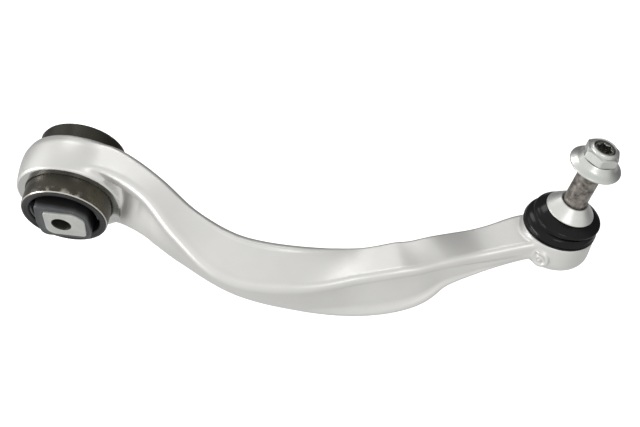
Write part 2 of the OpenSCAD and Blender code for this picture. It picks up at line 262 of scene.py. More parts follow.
def bar(p):
    """The curved arm: a rounded section swept along the spine, hollowed at its sides."""
    t = np.interp(p[:, 0], SPINE[:, 0], np.arange(len(SPINE), dtype=float))
    for _ in range(4):
        q = on_track(t)
        t = np.clip(t + np.einsum("ij,ij->i", p - q[:, :3], q[:, 3:6]) / q[:, 14], 0, len(TRACK) - 1)
    q = on_track(t)
    rel = p - q[:, :3]
    along = np.einsum("ij,ij->i", rel, q[:, 3:6])
    v = np.einsum("ij,ij->i", rel, q[:, 6:9])
    u = np.einsum("ij,ij->i", rel, q[:, 9:12])
    hw, hd = q[:, 12] / 2, q[:, 13] / 2
    front, brim, rear, hollow = q[:, 15], q[:, 16], q[:, 17], q[:, 18]
    low = smooth((brim - (hd - v)) / -np.interp(p[:, 0], [90, 170], [4.0, 3.2]))
    rise = (v + hd) / (2 * hd - brim)
    foot = smooth(rise * np.interp(p[:, 0], [90, 160], [1.1, 3.2]))
    px = p[:, 0]
    side_f = -u - (hw + np.interp(px, *FRONT_OUT) * smooth((1.0 - rise) / 0.7) - front * low * foot)
    side_r = u - (hw + np.interp(px, *REAR_OUT) - rear * low * foot)
    dip = hollow * smooth((hw - 3.0 - u) / 1.8) * smooth((u + hw + 2) / 12.0)
    bevel = np.interp(px, [150, 185, 285, 300], [0, 1, 1, 0])
    top = smax(v - hd + dip, v - hd + 0.55 * (u - hw - np.interp(px, *REAR_OUT) + 4.2 * bevel),
               0.6 + 2.2 * (1 - bevel))
    edge = np.where((u < 0) & (v > 0), np.interp(px, *BRIM_EDGE), EDGE)
    edge = np.minimum(edge, 0.85 * hd)
    qx = np.maximum(side_f, side_r) + edge
    qy = np.maximum(top, -v - hd) + edge
    sd = np.hypot(np.maximum(qx, 0), np.maximum(qy, 0)) + np.minimum(np.maximum(qx, qy), 0) - edge
    return np.maximum(sd, np.abs(along) - 0.5)


def eye(p):
    """The barrel that holds the bush."""
    r = np.hypot(p[:, 0], p[:, 2])
    y = p[:, 1] - 1.0
    out = 38.0 - 0.0072 * y * y
    out = smin(out, 38.0 - 0.40 * (p[:, 1] - 7.4), 0.6)
    return box2(r, y, out, 14.6, np.where(y < 0, 1.5, 2.0))


def housing(p):
    q = (p - BALL) @ HOUSING
    r = np.hypot(q[:, 0], q[:, 1])
    z = q[:, 2]
    edge = np.where(z > -4, 1.4, 8.5)
    mid, half = (6.6 - 15.5) / 2, (6.6 + 15.5) / 2
    body = box2(r, z - mid, 24.0, half, edge)
    way = math.radians(194)
    across = q[:, 0] * -math.sin(way) + q[:, 1] * math.cos(way)
    out = q[:, 0] * math.cos(way) + q[:, 1] * math.sin(way)
    rr = np.hypot(across, z + 5.0)
    boss = box2(rr, out - 20, 6.2, 5.8, 1.6)
    cup = box2(rr, out - 27.2, 3.9, 2.2, 0.8)
    pip = box2(rr, out - 20, 1.6, 7.2, 1.4)
    dot = box2(np.hypot(across + 2.9, z + 2.2), out - 27, 1.2, 4.4, 0.2)
    return body, smax(smin(smax(boss, -cup, 0.6), pip, 0.6), -dot, 0.2), r, z


def forging(p):
    b, e = bar(p), eye(p)
    h, pad, r, z = housing(p)
    f = smin(b, e, 4.5)
    f = smin(f, h, 1.5 + 1.2 * smooth((z + 1) / 5.0))
    f = smin(f, pad, 1.0)
    bore = np.hypot(p[:, 0], p[:, 2]) - 30.02
    f = np.where(p[:, 0] < 45, smax(f, -bore, 0.6), f)
    near = np.hypot(r, z) < 40
    seat = box2(r, z + 5.9, 16.02, 7.9, 0.3)
    mouth = box2(r, z - 8, 15.0, 7.0, 0.3)
    roll = box2(r, z + 17, 14.6, 3.3, 0.5)
    cave = np.minimum(np.minimum(seat, mouth), roll)
    return np.where(near, smax(f, -cave, 1.0), f)


def surface_net(field, low, high, h):
    """A quad mesh of the field's zero surface on a grid of step h, moved onto the surface."""
    n = np.ceil((high - low) / h).astype(int) + 1
    xs, ys, zs = (low[k] + h * np.arange(n[k]) for k in range(3))
    f = np.empty(tuple(n), np.float32)
    for i, x in enumerate(xs):
        yy, zz = np.meshgrid(ys, zs, indexing="ij")
        p = np.stack([np.full(yy.size, x), yy.ravel(), zz.ravel()], 1)
        f[i] = field(p).reshape(n[1], n[2])
    s = f < 0
    count = sum(s[a:n[0] - 1 + a, b:n[1] - 1 + b, c:n[2] - 1 + c].astype(np.int8)
                for a in (0, 1) for b in (0, 1) for c in (0, 1))
    active = (count > 0) & (count < 8)
    index = np.full(active.shape, -1, np.int64)
    ijk = np.argwhere(active)
    index[active] = np.arange(len(ijk))
    total, hits = np.zeros((len(ijk), 3)), np.zeros(len(ijk))
    for axis in range(3):
        o = [k for k in range(3) if k != axis]
        for m in (0, 1):
            for w in (0, 1):
                a = np.zeros(3, int)
                a[o[0]], a[o[1]] = m, w
                b = a.copy()
                b[axis] = 1
                fa = f[tuple((ijk + a).T)].astype(float)
                fb = f[tuple((ijk + b).T)].astype(float)
                cross = (fa < 0) != (fb < 0)
                t = np.where(cross, fa / np.where(cross, fa - fb, 1), 0)
                total += np.where(cross[:, None], a + t[:, None] * (b - a), 0)
                hits += cross
    verts = low + h * (ijk + total / hits[:, None])
    quads = []
    for axis in range(3):
        o = [k for k in range(3) if k != axis]
        head = [slice(None)] * 3
        tail = [slice(None)] * 3
        head[axis], tail[axis] = slice(0, n[axis] - 1), slice(1, n[axis])
        flip = s[tuple(head)] != s[tuple(tail)]
        e = np.argwhere(flip)
        m, w = e[:, o[0]], e[:, o[1]]
        e = e[(m > 0) & (w > 0) & (m < n[o[0]] - 1) & (w < n[o[1]] - 1)]
        inside = s[tuple(e.T)]
        c = []
        for m, w in ((1, 1), (0, 1), (0, 0), (1, 0)):
            g = e.copy()
            g[:, o[0]] -= m
            g[:, o[1]] -= w
            c.append(index[tuple(g.T)])
        q = np.stack(c, 1)
        turn = inside if axis != 1 else ~inside
        q = np.where(turn[:, None], q, q[:, ::-1])
        quads.append(q)
    quads = np.concatenate(quads)
    for _ in range(3):
        verts = onto(field, verts, 0.9 * h)
        mean, deg = np.zeros_like(verts), np.zeros(len(verts))
        for k in range(4):
            np.add.at(mean, quads[:, k], verts[quads[:, (k + 1) % 4]])
            np.add.at(mean, quads[:, k], verts[quads[:, (k + 3) % 4]])
            np.add.at(deg, quads[:, k], 2)
        verts = 0.6 * verts + 0.4 * mean / deg[:, None]
    return onto(field, onto(field, verts, 0.9 * h), 0.9 * h), quads


def onto(field, v, cap):
    """Newton step of each point onto the field's zero, no longer than cap."""
    e = 0.05
    g = np.stack([field(v + d) - field(v - d) for d in np.eye(3) * e], 1) / (2 * e)
    s = field(v) / np.maximum((g * g).sum(1), 0.25)
    move = -s[:, None] * g
    size = np.linalg.norm(move, axis=1)
    return v + move * np.minimum(1, cap / np.maximum(size, 1e-9))[:, None]


# ---- materials ----

def material(name):
    m = bpy.data.materials.new(name)
    m.use_nodes = True
    t = m.node_tree
    b = t.nodes["Principled BSDF"]
    return m, t, b


def node(t, kind, **kw):
    n = t.nodes.new(kind)
    for k, v in kw.items():
        if k in n.inputs:
            n.inputs[k].default_value = v
        else:
            setattr(n, k, v)
    return n


def noise(t, scale, detail=4.0, rough=0.55, stretch=None):
    """Noise in the row frame's metres, so that its grain has a real size."""
    c = t.nodes.new("ShaderNodeTexCoord")
    out = c.outputs["Object"]
    if stretch is not None:
        m = node(t, "ShaderNodeMapping", Scale=stretch)
        t.links.new(out, m.inputs["Vector"])
        out = m.outputs["Vector"]
    n = node(t, "ShaderNodeTexNoise", Scale=scale, Detail=detail, Roughness=rough)
    t.links.new(out, n.inputs["Vector"])
    return n.outputs["Fac"]


def position(t):
    """X, Y and Z in the row frame's metres, as a Separate XYZ node."""
    c = t.nodes.new("ShaderNodeTexCoord")
    x = t.nodes.new("ShaderNodeSeparateXYZ")
    t.links.new(c.outputs["Object"], x.inputs["Vector"])
    return x


def ramp(t, fac, stops):
    r = t.nodes.new("ShaderNodeValToRGB")
    e = r.color_ramp.elements
    while len(e) < len(stops):
        e.new(0.5)
    for k, (pos, col) in enumerate(stops):
        e[k].position = pos
        e[k].color = (*col, 1) if len(col) == 3 else col
    t.links.new(fac, r.inputs["Fac"])
    return r.outputs["Color"]


def mix(t, fac, a, b):
    n = t.nodes.new("ShaderNodeMix")
    n.data_type = "RGBA"
    for sock, v in ((n.inputs[0], fac), (n.inputs[6], a), (n.inputs[7], b)):
        if hasattr(v, "is_linked") or hasattr(v, "links"):
            t.links.new(v, sock)
        elif isinstance(v, (int, float)):
            sock.default_value = v
        else:
            sock.default_value = (*v, 1)
    return n.outputs[2]


def spread(t, fac, low, high, a=0.3, b=0.7):
    n = node(t, "ShaderNodeMapRange")
    n.inputs["From Min"].default_value = a
    n.inputs["From Max"].default_value = b
    n.inputs["To Min"].default_value = low
    n.inputs["To Max"].default_value = high
    t.links.new(fac, n.inputs["Value"])
    return n.outputs["Result"]


def bump(t, b, parts):
    """Chains height fields (fac, distance in metres, strength) into the shader's normal."""
    prev = None
    for fac, dist, strength in parts:
        n = node(t, "ShaderNodeBump", Strength=strength, Distance=dist)
        t.links.new(fac, n.inputs["Height"])
        if prev:
            t.links.new(prev, n.inputs["Normal"])
        prev = n.outputs["Normal"]
    t.links.new(prev, b.inputs["Normal"])


def metal(name, dark, light, rough, metallic=1.0, scale=900, grain=0.00006, cloud=35, stretch=None,
          strength=0.35, rough_span=0.08):
    m, t, b = material(name)
    big = noise(t, cloud, 3)
    fine = noise(t, scale, 3, 0.6, stretch)
    b.inputs["Metallic"].default_value = metallic
    col = ramp(t, big, [(0.3, dark), (0.7, light)])
    col = mix(t, spread(t, fine, 0.0, 0.16), col, tuple(c * 0.72 for c in dark))
    t.links.new(col, b.inputs["Base Color"])
    t.links.new(spread(t, fine, rough - rough_span, rough + rough_span), b.inputs["Roughness"])
    bump(t, b, [(big, grain * 3, strength * 0.5), (fine, grain, strength)])
    return m


def rubber(name, dark, light, rough, scale=1400, grain=0.00004, spec=0.5, cloud=60):
    m, t, b = material(name)
    big = noise(t, cloud, 4)
    fine = noise(t, scale, 3, 0.6)
    t.links.new(ramp(t, big, [(0.3, dark), (0.72, light)]), b.inputs["Base Color"])
    t.links.new(spread(t, fine, rough - 0.06, rough + 0.08), b.inputs["Roughness"])
    b.inputs["Specular IOR Level"].default_value = spec
    bump(t, b, [(big, grain * 2, 0.25), (fine, grain, 0.3)])
    return m


def forged():
    """Blasted aluminium, with the eye's end faces and the bore edge left bright from the cutter."""
    m, t, b = material("forged_aluminium")
    big, fine = noise(t, 26, 3), noise(t, 1500, 3, 0.6)
    cast = ramp(t, big, [(0.3, (0.70, 0.695, 0.68)), (0.7, (0.75, 0.745, 0.73))])
    x = position(t)

    def calc(op, a, v):
        n = node(t, "ShaderNodeMath", operation=op)
        t.links.new(a, n.inputs[0])
        if isinstance(v, (int, float)):
            n.inputs[1].default_value = v
        else:
            t.links.new(v, n.inputs[1])
        return n.outputs[0]

    r2 = calc("ADD", calc("MULTIPLY", x.outputs["X"], x.outputs["X"]),
              calc("MULTIPLY", x.outputs["Z"], x.outputs["Z"]))
    near = calc("LESS_THAN", r2, 0.0365 ** 2)
    ends = calc("MAXIMUM", calc("LESS_THAN", x.outputs["Y"], -0.01352),
                calc("GREATER_THAN", x.outputs["Y"], 0.01552))
    cut = calc("MULTIPLY", near, ends)
    t.links.new(mix(t, cut, cast, (0.60, 0.60, 0.585)), b.inputs["Base Color"])
    rough = spread(t, fine, 0.36, 0.48)
    t.links.new(calc("SUBTRACT", rough, calc("MULTIPLY", cut, 0.24)), b.inputs["Roughness"])
    t.links.new(calc("ADD", calc("MULTIPLY", cut, 0.2), 0.75), b.inputs["Metallic"])
    bump(t, b, [(big, 0.0001, 0.08), (fine, 0.00003, 0.15)])
    return m


def worn_sleeve():
    """Dark phosphated steel, scuffed to bare metal in patches beside its front rim, and darkened towards its
    rear end as painted shade.
    """
    m, t, b = material("sleeve_steel")
    big, fine, patch = noise(t, 30, 3), noise(t, 900, 3, 0.6, (1, 0.35, 1)), noise(t, 150, 4, 0.65)
    x = position(t)
    rim = spread(t, x.outputs["Y"], 1.0, 0.0, -0.0272, -0.0225)
    upper = spread(t, x.outputs["Z"], 0.0, 1.0, 0.012, 0.026)
    scuff = mix(t, upper, (0, 0, 0), mix(t, rim, (0, 0, 0), spread(t, patch, 0.0, 1.0, 0.46, 0.62)))
    dark = ramp(t, big, [(0.3, (0.030, 0.026, 0.021)), (0.7, (0.088, 0.080, 0.058))])
    # painted shade: from the middle of the sleeve towards its rear end the colour is mixed towards near-black
    front = spread(t, x.outputs["Y"], 1.0, 0.45, -0.005, 0.015)
    dark = mix(t, front, (0.012, 0.0115, 0.010), dark)
    t.links.new(mix(t, scuff, dark, (0.42, 0.40, 0.36)), b.inputs["Base Color"])
    b.inputs["Metallic"].default_value = 0.6
    t.links.new(spread(t, fine, 0.24, 0.40), b.inputs["Roughness"])
    bump(t, b, [(big, 0.00006, 0.1), (fine, 0.00003, 0.2)])
    return m


def block_rubber_with_painted_shade():
    """Rubber with grey moulded end faces, and flanks painted near-black as painted shade."""
    m, t, b = material("bush_rubber")
    big, fine = noise(t, 60, 4), noise(t, 1400, 3, 0.6)
    x = position(t)
    a = node(t, "ShaderNodeMath", operation="ABSOLUTE")
    t.links.new(x.outputs["Y"], a.inputs[0])
    # painted shade: away from the end faces the rubber is mixed to near-black
    unshaded_end_mask = spread(t, a.outputs[0], 0.0, 1.0, 0.0295, 0.0325)
    grey = ramp(t, big, [(0.3, (0.055, 0.057, 0.061)), (0.7, (0.085, 0.087, 0.092))])
    t.links.new(mix(t, unshaded_end_mask, (0.010, 0.010, 0.011), grey), b.inputs["Base Color"])
    t.links.new(spread(t, fine, 0.36, 0.5), b.inputs["Roughness"])
    bump(t, b, [(big, 0.00008, 0.25), (fine, 0.00004, 0.3)])
    return m


FORGED = forged()
CORE = metal("core_aluminium", (0.50, 0.51, 0.49), (0.60, 0.61, 0.59), 0.52, metallic=0.45,
             scale=700, grain=0.00005, cloud=60, stretch=(1, 0.15, 0.4), strength=0.3)
SLEEVE = worn_sleeve()
SLEEVE_RIM = metal("sleeve_rim", (0.55, 0.52, 0.48), (0.72, 0.70, 0.66), 0.30, cloud=90)
# painted shade: a near-black material for the inside of the core's bore
BORE_PAINTED_SHADE = metal("core_bore_painted_shade", (0.020, 0.020, 0.015), (0.05, 0.05, 0.038), 0.5, metallic=0.5, scale=600)
CAGE = metal("cage_steel", (0.40, 0.41, 0.42), (0.50, 0.51, 0.52), 0.38)
CAP = metal("cap_steel", (0.50, 0.51, 0.50), (0.62, 0.62, 0.60), 0.35)
SHANK = metal("stud_steel", (0.075, 0.068, 0.060), (0.44, 0.405, 0.37), 0.40, metallic=0.8,
              scale=420, grain=0.00012, cloud=230, strength=0.7, rough_span=0.16)
SOCKET = metal("socket_steel", (0.30, 0.30, 0.29), (0.46, 0.46, 0.45), 0.26, scale=700, grain=0.00002)
CONE = metal("cone_steel", (0.76, 0.76, 0.74), (0.82, 0.82, 0.80), 0.34, metallic=0.8,
             scale=1600, grain=0.000004, cloud=70, strength=0.05)
NUT = metal("nut_steel", (0.68, 0.695, 0.67), (0.76, 0.775, 0.75), 0.33, metallic=0.88,
            scale=1500, grain=0.000002, cloud=60, strength=0.03)
WIRE = metal("spring_wire", (0.42, 0.42, 0.42), (0.54, 0.54, 0.54), 0.3)
BLOCK = block_rubber_with_painted_shade()
RUBBER = rubber("spring_rubber", (0.012, 0.012, 0.013), (0.024, 0.024, 0.026), 0.50)
PAD = rubber("bush_rubber_pad", (0.075, 0.078, 0.084), (0.10, 0.102, 0.108), 0.46)
RING = rubber("ring_rubber", (0.020, 0.020, 0.021), (0.036, 0.036, 0.037), 0.46, spec=0.3)
BOOT = rubber("boot_rubber", (0.004, 0.004, 0.0045), (0.009, 0.008, 0.0095), 0.15,
              grain=0.000003, spec=0.22)
STOP = rubber("stop_plastic", (0.09, 0.09, 0.10), (0.14, 0.14, 0.15), 0.45)
CHANNEL = rubber("channel_plastic", (0.46, 0.43, 0.35), (0.56, 0.53, 0.45), 0.42)
SEAT = rubber("seat_plastic", (0.72, 0.71, 0.65), (0.82, 0.81, 0.75), 0.35)
INSERT = rubber("insert_nylon", (0.07, 0.072, 0.074), (0.12, 0.122, 0.125), 0.40)

# ---- the arm ----

verts, quads = surface_net(forging, np.array([-41.0, -76.0, -46.0]), np.array([356.0, 34.0, 41.0]), GRID)
make("forged_arm", verts, quads, "arm", FORGED, "forged_aluminium",
     ("arm_eye", "arm_bar", "ball_housing"), sharp=None)

# ---- bush ----

CORE_CORNERS = [(-13, -13.5, 6.5), (15, -13.5, 3), (17.5, 6, 6), (11, 12.5, 6), (-11, 12.5, 3)]
COVER_CORNERS = [(-17.6, -18.4, 5.5), (16.6, -18.2, 5), (19.0, -9, 9), (19.2, 8.5, 4), (11.5, 15.2, 5),
                 (-2, 17.2, 30), (-16.2, 17.9, 3.2), (-19.0, -3, 20)]
EYE_N = 192


def outline(corners, n=EYE_N):
    """n points evenly along a rounded outline, with the outward normal of each."""
    p = rounded(corners, 10)
    p = np.concatenate([p, p[:1]])
    seg = np.linalg.norm(np.diff(p, axis=0), axis=1)
    keep = np.concatenate([[True], seg > 1e-6])
    p = p[keep]
    s = np.concatenate([[0], np.cumsum(np.linalg.norm(np.diff(p, axis=0), axis=1))])
    q = np.linspace(0, s[-1], n, endpoint=False)
    x, z = np.interp(q, s, p[:, 0]), np.interp(q, s, p[:, 1])
    pts = np.stack([x, z], 1)
    tang = np.roll(pts, -1, 0) - np.roll(pts, 1, 0)
    tang /= np.linalg.norm(tang, axis=1)[:, None]
    nrm = np.stack([tang[:, 1], -tang[:, 0]], 1)
    for _ in range(3):
        nrm = np.roll(nrm, 1, 0) + 2 * nrm + np.roll(nrm, -1, 0)
        nrm /= np.linalg.norm(nrm, axis=1)[:, None]
    return pts, nrm


def at_y(p2, y):
    y = np.broadcast_to(y, len(p2))
    return np.stack([p2[:, 0], y, p2[:, 1]], 1)


def ring_of(p2, r):
    """A circle of radius r whose points lie in the same directions as p2."""
    return p2 / np.linalg.norm(p2, axis=1)[:, None] * r


core_o, core_n = outline(CORE_CORNERS)
front = [(ring_of(core_o, r), y) for r, y in ((6.3, -33.7), (6.5, -34.2), (7.0, -34.6), (9.5, -34.6))]
front += [(core_o + core_n * off, y)
          for off, y in ((-0.9, -34.6), (-0.35, -34.5), (-0.08, -34.2), (0.0, -33.7))]
v, f = loops([at_y(p2, y) for p2, y in front] + [at_y(p2, -y) for p2, y in reversed(front)])
core = make("core_block", v, f, "mount_core", CORE, "core_aluminium", ("bush_core",), sharp=30)
weld(core)
# painted shade: the faces inside the core's bore get the near-black material
core.data.materials.append(BORE_PAINTED_SHADE)
for p in core.data.polygons:
    c = p.center / MM
    if math.hypot(c.x, c.z) < 6.9 and abs(c.y) < 34.5:
        p.material_index = 1

cover_o, cover_n = outline(COVER_CORNERS)


def cover_loops(sign):
    """The rubber block at one end of the core: a lip round the core, a soft edge, and its side."""
    out = []
    for kind, off, y in (("c", 0.05, 9.5), ("c", 0.05, 32.6), ("c", 0.25, 33.2), ("c", 0.75, 33.45),
                         ("c", 1.25, 33.2), ("c", 1.7, 32.8), ("o", -2.4, 32.7), ("o", -1.6, 32.85),
                         ("o", -1.1, 33.2), ("o", -0.6, 33.25), ("o", -0.2, 32.9), ("o", 0.0, 32.2),
                         ("o", 0.0, 24.0),
                         ("o", -0.4, 20.0), ("o", -0.4, 9.5)):
        base = core_o + core_n * off if kind == "c" else cover_o + cover_n * off
        out.append(at_y(base, sign * y))
    return out


for sign, end in ((-1, "front"), (1, "rear")):
    rings = cover_loops(sign)
    if sign < 0:
        rings = rings[::-1]
    v, f = loops(rings)
    lip = make("core_cover_" + end, v, f, "mount_core", BLOCK, "bush_rubber",
               ("core_cover",) if sign < 0 else (), sharp=40)
    weld(lip)

# the spring that joins the cover to the cage, with its dished membrane at each end
SPRING_R, SPRING_Y, SPRING_DISH = 25.6, 17.2, 4.2
inner = cover_o + cover_n * -0.5
rings = []
for sign in (-1, 1):
    part = []
    for s in np.linspace(0, 1, 9):
        r2 = inner * (1 - s) + ring_of(cover_o, SPRING_R) * s
        part.append(at_y(r2, sign * (SPRING_Y - SPRING_DISH * math.sin(math.pi * s) ** 1.5)))
    rings += part if sign < 0 else part[::-1]
v, f = loops(rings)
spring = make("rubber_spring_body", v, f, None, RUBBER, "bush_rubber", ("rubber_spring",), sharp=50)
weld(spring)
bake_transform(spring)
angle = np.arctan2(inner[:, 1], inner[:, 0])
order = np.argsort(angle)
angle, reach = angle[order], np.hypot(inner[:, 0], inner[:, 1])[order]

SLEEVE_PROFILE = [(28.0, -27.7, 0.2), (29.2, -27.7, 0.3), (30.0, -26.9, 0.5), (30.0, 26.9, 0.5),
                  (29.2, 27.7, 0.3), (28.0, 27.7, 0.2)]
sleeve = lathe("sleeve", SLEEVE_PROFILE, BUSH, n=160, body="arm", material=SLEEVE, slot="sleeve_steel",
               replaces=("bush_sleeve",))
sleeve.data.materials.append(SLEEVE_RIM)
for p in sleeve.data.polygons:
    c = p.center / MM
    if 27.15 < abs(c.y) and math.hypot(c.x, c.z) > 29.25:
        p.material_index = 1


def end_ring(sign, end):
    prof = [(24.2, 19.4, 0.3), (27.95, 19.4, 0.3), (27.95, 27.7, 0), (29.15, 27.75, 0.2),
            (29.3, 28.2, 0.35), (28.8, 28.65, 0.5), (27.2, 28.7, 0.6), (26.6, 28.2, 0.8),
            (25.4, 28.1, 1.0), (24.5, 27.4, 0.8), (24.2, 26.0, 1.2)]
    return lathe("end_ring_" + end + "_body", [(r, sign * z, c) for r, z, c in prof], BUSH, n=160,
                 body="arm", material=RING, slot="ring_rubber", replaces=("end_ring_" + end,))


def bump_pad(sign, end):
    """Two rubber cushions on the ring's bore, thick in the middle and thin at both ends."""
    verts, faces = [], []
    for side in (0, 180):
        rings = []
        m = 25
        for k in range(m):
            s = k / (m - 1)
            a = math.radians(side - 12 + 38 * s)
            grow = smooth(np.array(min(s, 1 - s) / 0.22)).item()
            t = 0.25 + 1.25 * grow
            yh = 2.0 + 1.2 * grow
            box = rounded([(24.35 - t - 0.15, -yh, 0.7), (24.35, -yh, 0.1), (24.35, yh, 0.1),
                           (24.35 - t - 0.15, yh, 0.7)], 4)
            rings.append(np.stack([box[:, 0] * math.cos(a), sign * (23.2 + box[:, 1]),
                                   box[:, 0] * math.sin(a)], 1))
        v, f = loops(rings, closed=False)
        n = len(rings[0])
        f += [tuple(range(n))[::-1], tuple(range((m - 1) * n, m * n))]
        faces += [tuple(i + len(verts) for i in q) for q in f]
        verts += v.tolist()
    o = make("bump_pads_" + end + "_body", verts, faces, "arm", PAD, "bush_rubber", ("bump_pads_" + end,))
    weld(o)


for sign, end in ((-1, "front"), (1, "rear")):
    end_ring(sign, end)
    bump_pad(sign, end)

# ---- ball joint ----

CAP_PROFILE = [(0, -14.9, 0), (6.2, -14.9, 0.4), (6.8, -14.5, 0.4), (11.4, -14.5, 0.4),
               (12.2, -14.95, 0.5), (14.3, -14.95, 0.3), (15.9, -14.7, 0.2), (15.9, -13.7, 0.1),
               (0, -13.7, 0)]
lathe("end_cap", CAP_PROFILE, HOUSING, BALL, n=96, body="arm", material=CAP, slot="cap_steel",
      replaces=("housing_end_cap",))


def leaned(share):
    """The housing's axis turned by a share of the stud's lean."""
    a = REST_TILT * share
    return HOUSING_AXIS * math.cos(a) + np.cross(TILT_AXIS, HOUSING_AXIS) * math.sin(a)


def boot_ring(r, z, shift, share, n=128):
    """A ring whose centre moves with the stud by one share and whose plane tips by another."""
    side = np.cross(leaned(share), TILT_AXIS)
    t = np.arange(n) * 2 * math.pi / n
    return BALL + z * leaned(shift) + r * (np.cos(t)[:, None] * TILT_AXIS + np.sin(t)[:, None] * side)


def boot(name, outer, inner, body=None, **kw):
    """A closed rubber shell from (radius, height, shift, tip) rows outside and inside."""
    rings = [boot_ring(*q) for q in (*resample(outer), *resample(inner)[::-1])]
    v, f = loops(rings)
    o = make(name, v, [q[::-1] for q in f], body, **kw)
    weld(o)
    return o


def resample(pts, step=0.45):
    """Smooth points through a profile, close together."""
    p = np.array(pts, float)
    rows = catmull(p, 6)
    d = np.concatenate([[0], np.cumsum(np.linalg.norm(np.diff(rows[:, :2], axis=0), axis=1))])
    n = max(3, int(d[-1] / step))
    q = np.linspace(0, d[-1], n)
    return np.stack([np.interp(q, d, rows[:, k]) for k in range(4)], 1)


BASE_PROFILE = [(19.8, 6.65, 0.2), (23.8, 6.65, 0.4), (24.3, 7.1, 0.5), (24.2, 8.0, 0.3),
                (23.3, 8.25, 0.15), (23.3, 8.75, 0.1), (20.5, 8.75, 0), (19.8, 10.2, 0.3)]
lathe("boot_foot", BASE_PROFILE, HOUSING, BALL, n=128, body="arm", material=BOOT, slot="boot_rubber",
      replaces=("boot_base",))

lower_out = [(23.2, 8.6, 0, 0), (24.0, 8.65, 0, 0), (24.35, 8.95, 0, 0), (24.35, 9.45, 0, 0),
             (24.0, 9.75, 0, 0), (23.9, 10.6, 0.05, 0), (23.6, 11.7, 0.1, 0),
             (23.1, 12.7, 0.2, 0.02), (22.5, 13.4, 0.3, 0.06), (21.8, 13.85, 0.4, 0.1),
             (21.1, 14.2, 0.55, 0.15), (20.6, 14.75, 0.8, 0.25), (20.8, 15.4, 1.0, 0.3),
             (21.6, 15.9, 1.2, 0.33), (22.2, 16.45, 1.25, 0.35)]
lower_in = [(20.6, 8.75, 0, 0), (21.8, 9.8, 0, 0), (21.9, 11.2, 0.05, 0.05), (21.0, 12.5, 0.15, 0.1),
            (19.6, 13.6, 0.6, 0.2), (19.5, 14.9, 0.95, 0.3), (20.2, 16.2, 1.15, 0.34)]
upper_out = [(22.2, 16.45, 1.25, 0.35), (22.35, 17.1, 1.25, 0.37), (22.05, 17.9, 1.25, 0.4),
             (21.2, 18.65, 1.2, 0.44), (20.0, 19.45, 1.15, 0.5), (18.6, 20.35, 1.1, 0.62),
             (17.0, 21.15, 1.05, 0.78), (15.6, 21.7, 1, 0.92), (14.6, 21.9, 1, 1), (13.6, 21.9, 1, 1)]
upper_in = [(20.2, 16.2, 1.15, 0.34), (20.4, 17.1, 1.17, 0.38), (19.6, 17.8, 1.17, 0.42),
            (18.2, 18.6, 1.1, 0.6), (16.6, 19.5, 1.05, 0.8), (15.0, 20.1, 1, 0.95), (13.6, 20.2, 1, 1)]
lower = boot("boot_side", lower_out, lower_in, material=BOOT, slot="boot_rubber",
             replaces=("boot_lower",), sharp=60)
upper = boot("boot_top_fold", upper_out, upper_in, material=BOOT, slot="boot_rubber",
             replaces=("boot_upper",), sharp=60)


def shares(obj):
    """Bakes obj's transform and works out each point's height on the rings from their shift and tip; the
    heights are not used.
    """
    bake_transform(obj)
    co = np.array([p.co for p in obj.data.vertices]).reshape(-1, 3) / MM - BALL
    rows = np.array(lower_out + upper_out[1:-1])
    zh = co @ HOUSING_AXIS
    across = co @ np.cross(HOUSING_AXIS, TILT_AXIS)
    z = zh.copy()
    for _ in range(6):
        shift, tip = (REST_TILT * np.interp(z, rows[:, 1], rows[:, k]) for k in (2, 3))
        z = (zh - (across + z * np.sin(shift)) * np.tan(tip)) / np.cos(shift)


shares(lower)
shares(upper)

CONE_PROFILE = [(7.85, 28.6, 0), (7.85, 29.6, 0.3), (8.9, 30.6, 0.35), (9.5, 30.4, 0.4),
                (15.9, 23.5, 0.9), (16.25, 22.7, 0.5), (15.7, 22.3, 0.3), (12.5, 22.3, 1.0),
                (9.0, 25.2, 0.6), (7.85, 26.2, 0.2)]
lathe("cone", CONE_PROFILE, STUD, BALL, n=128, body="stud", material=CONE, slot="cone_steel",
      replaces=("cone_ring",))

# ---- stud ----

PITCH = 1.5


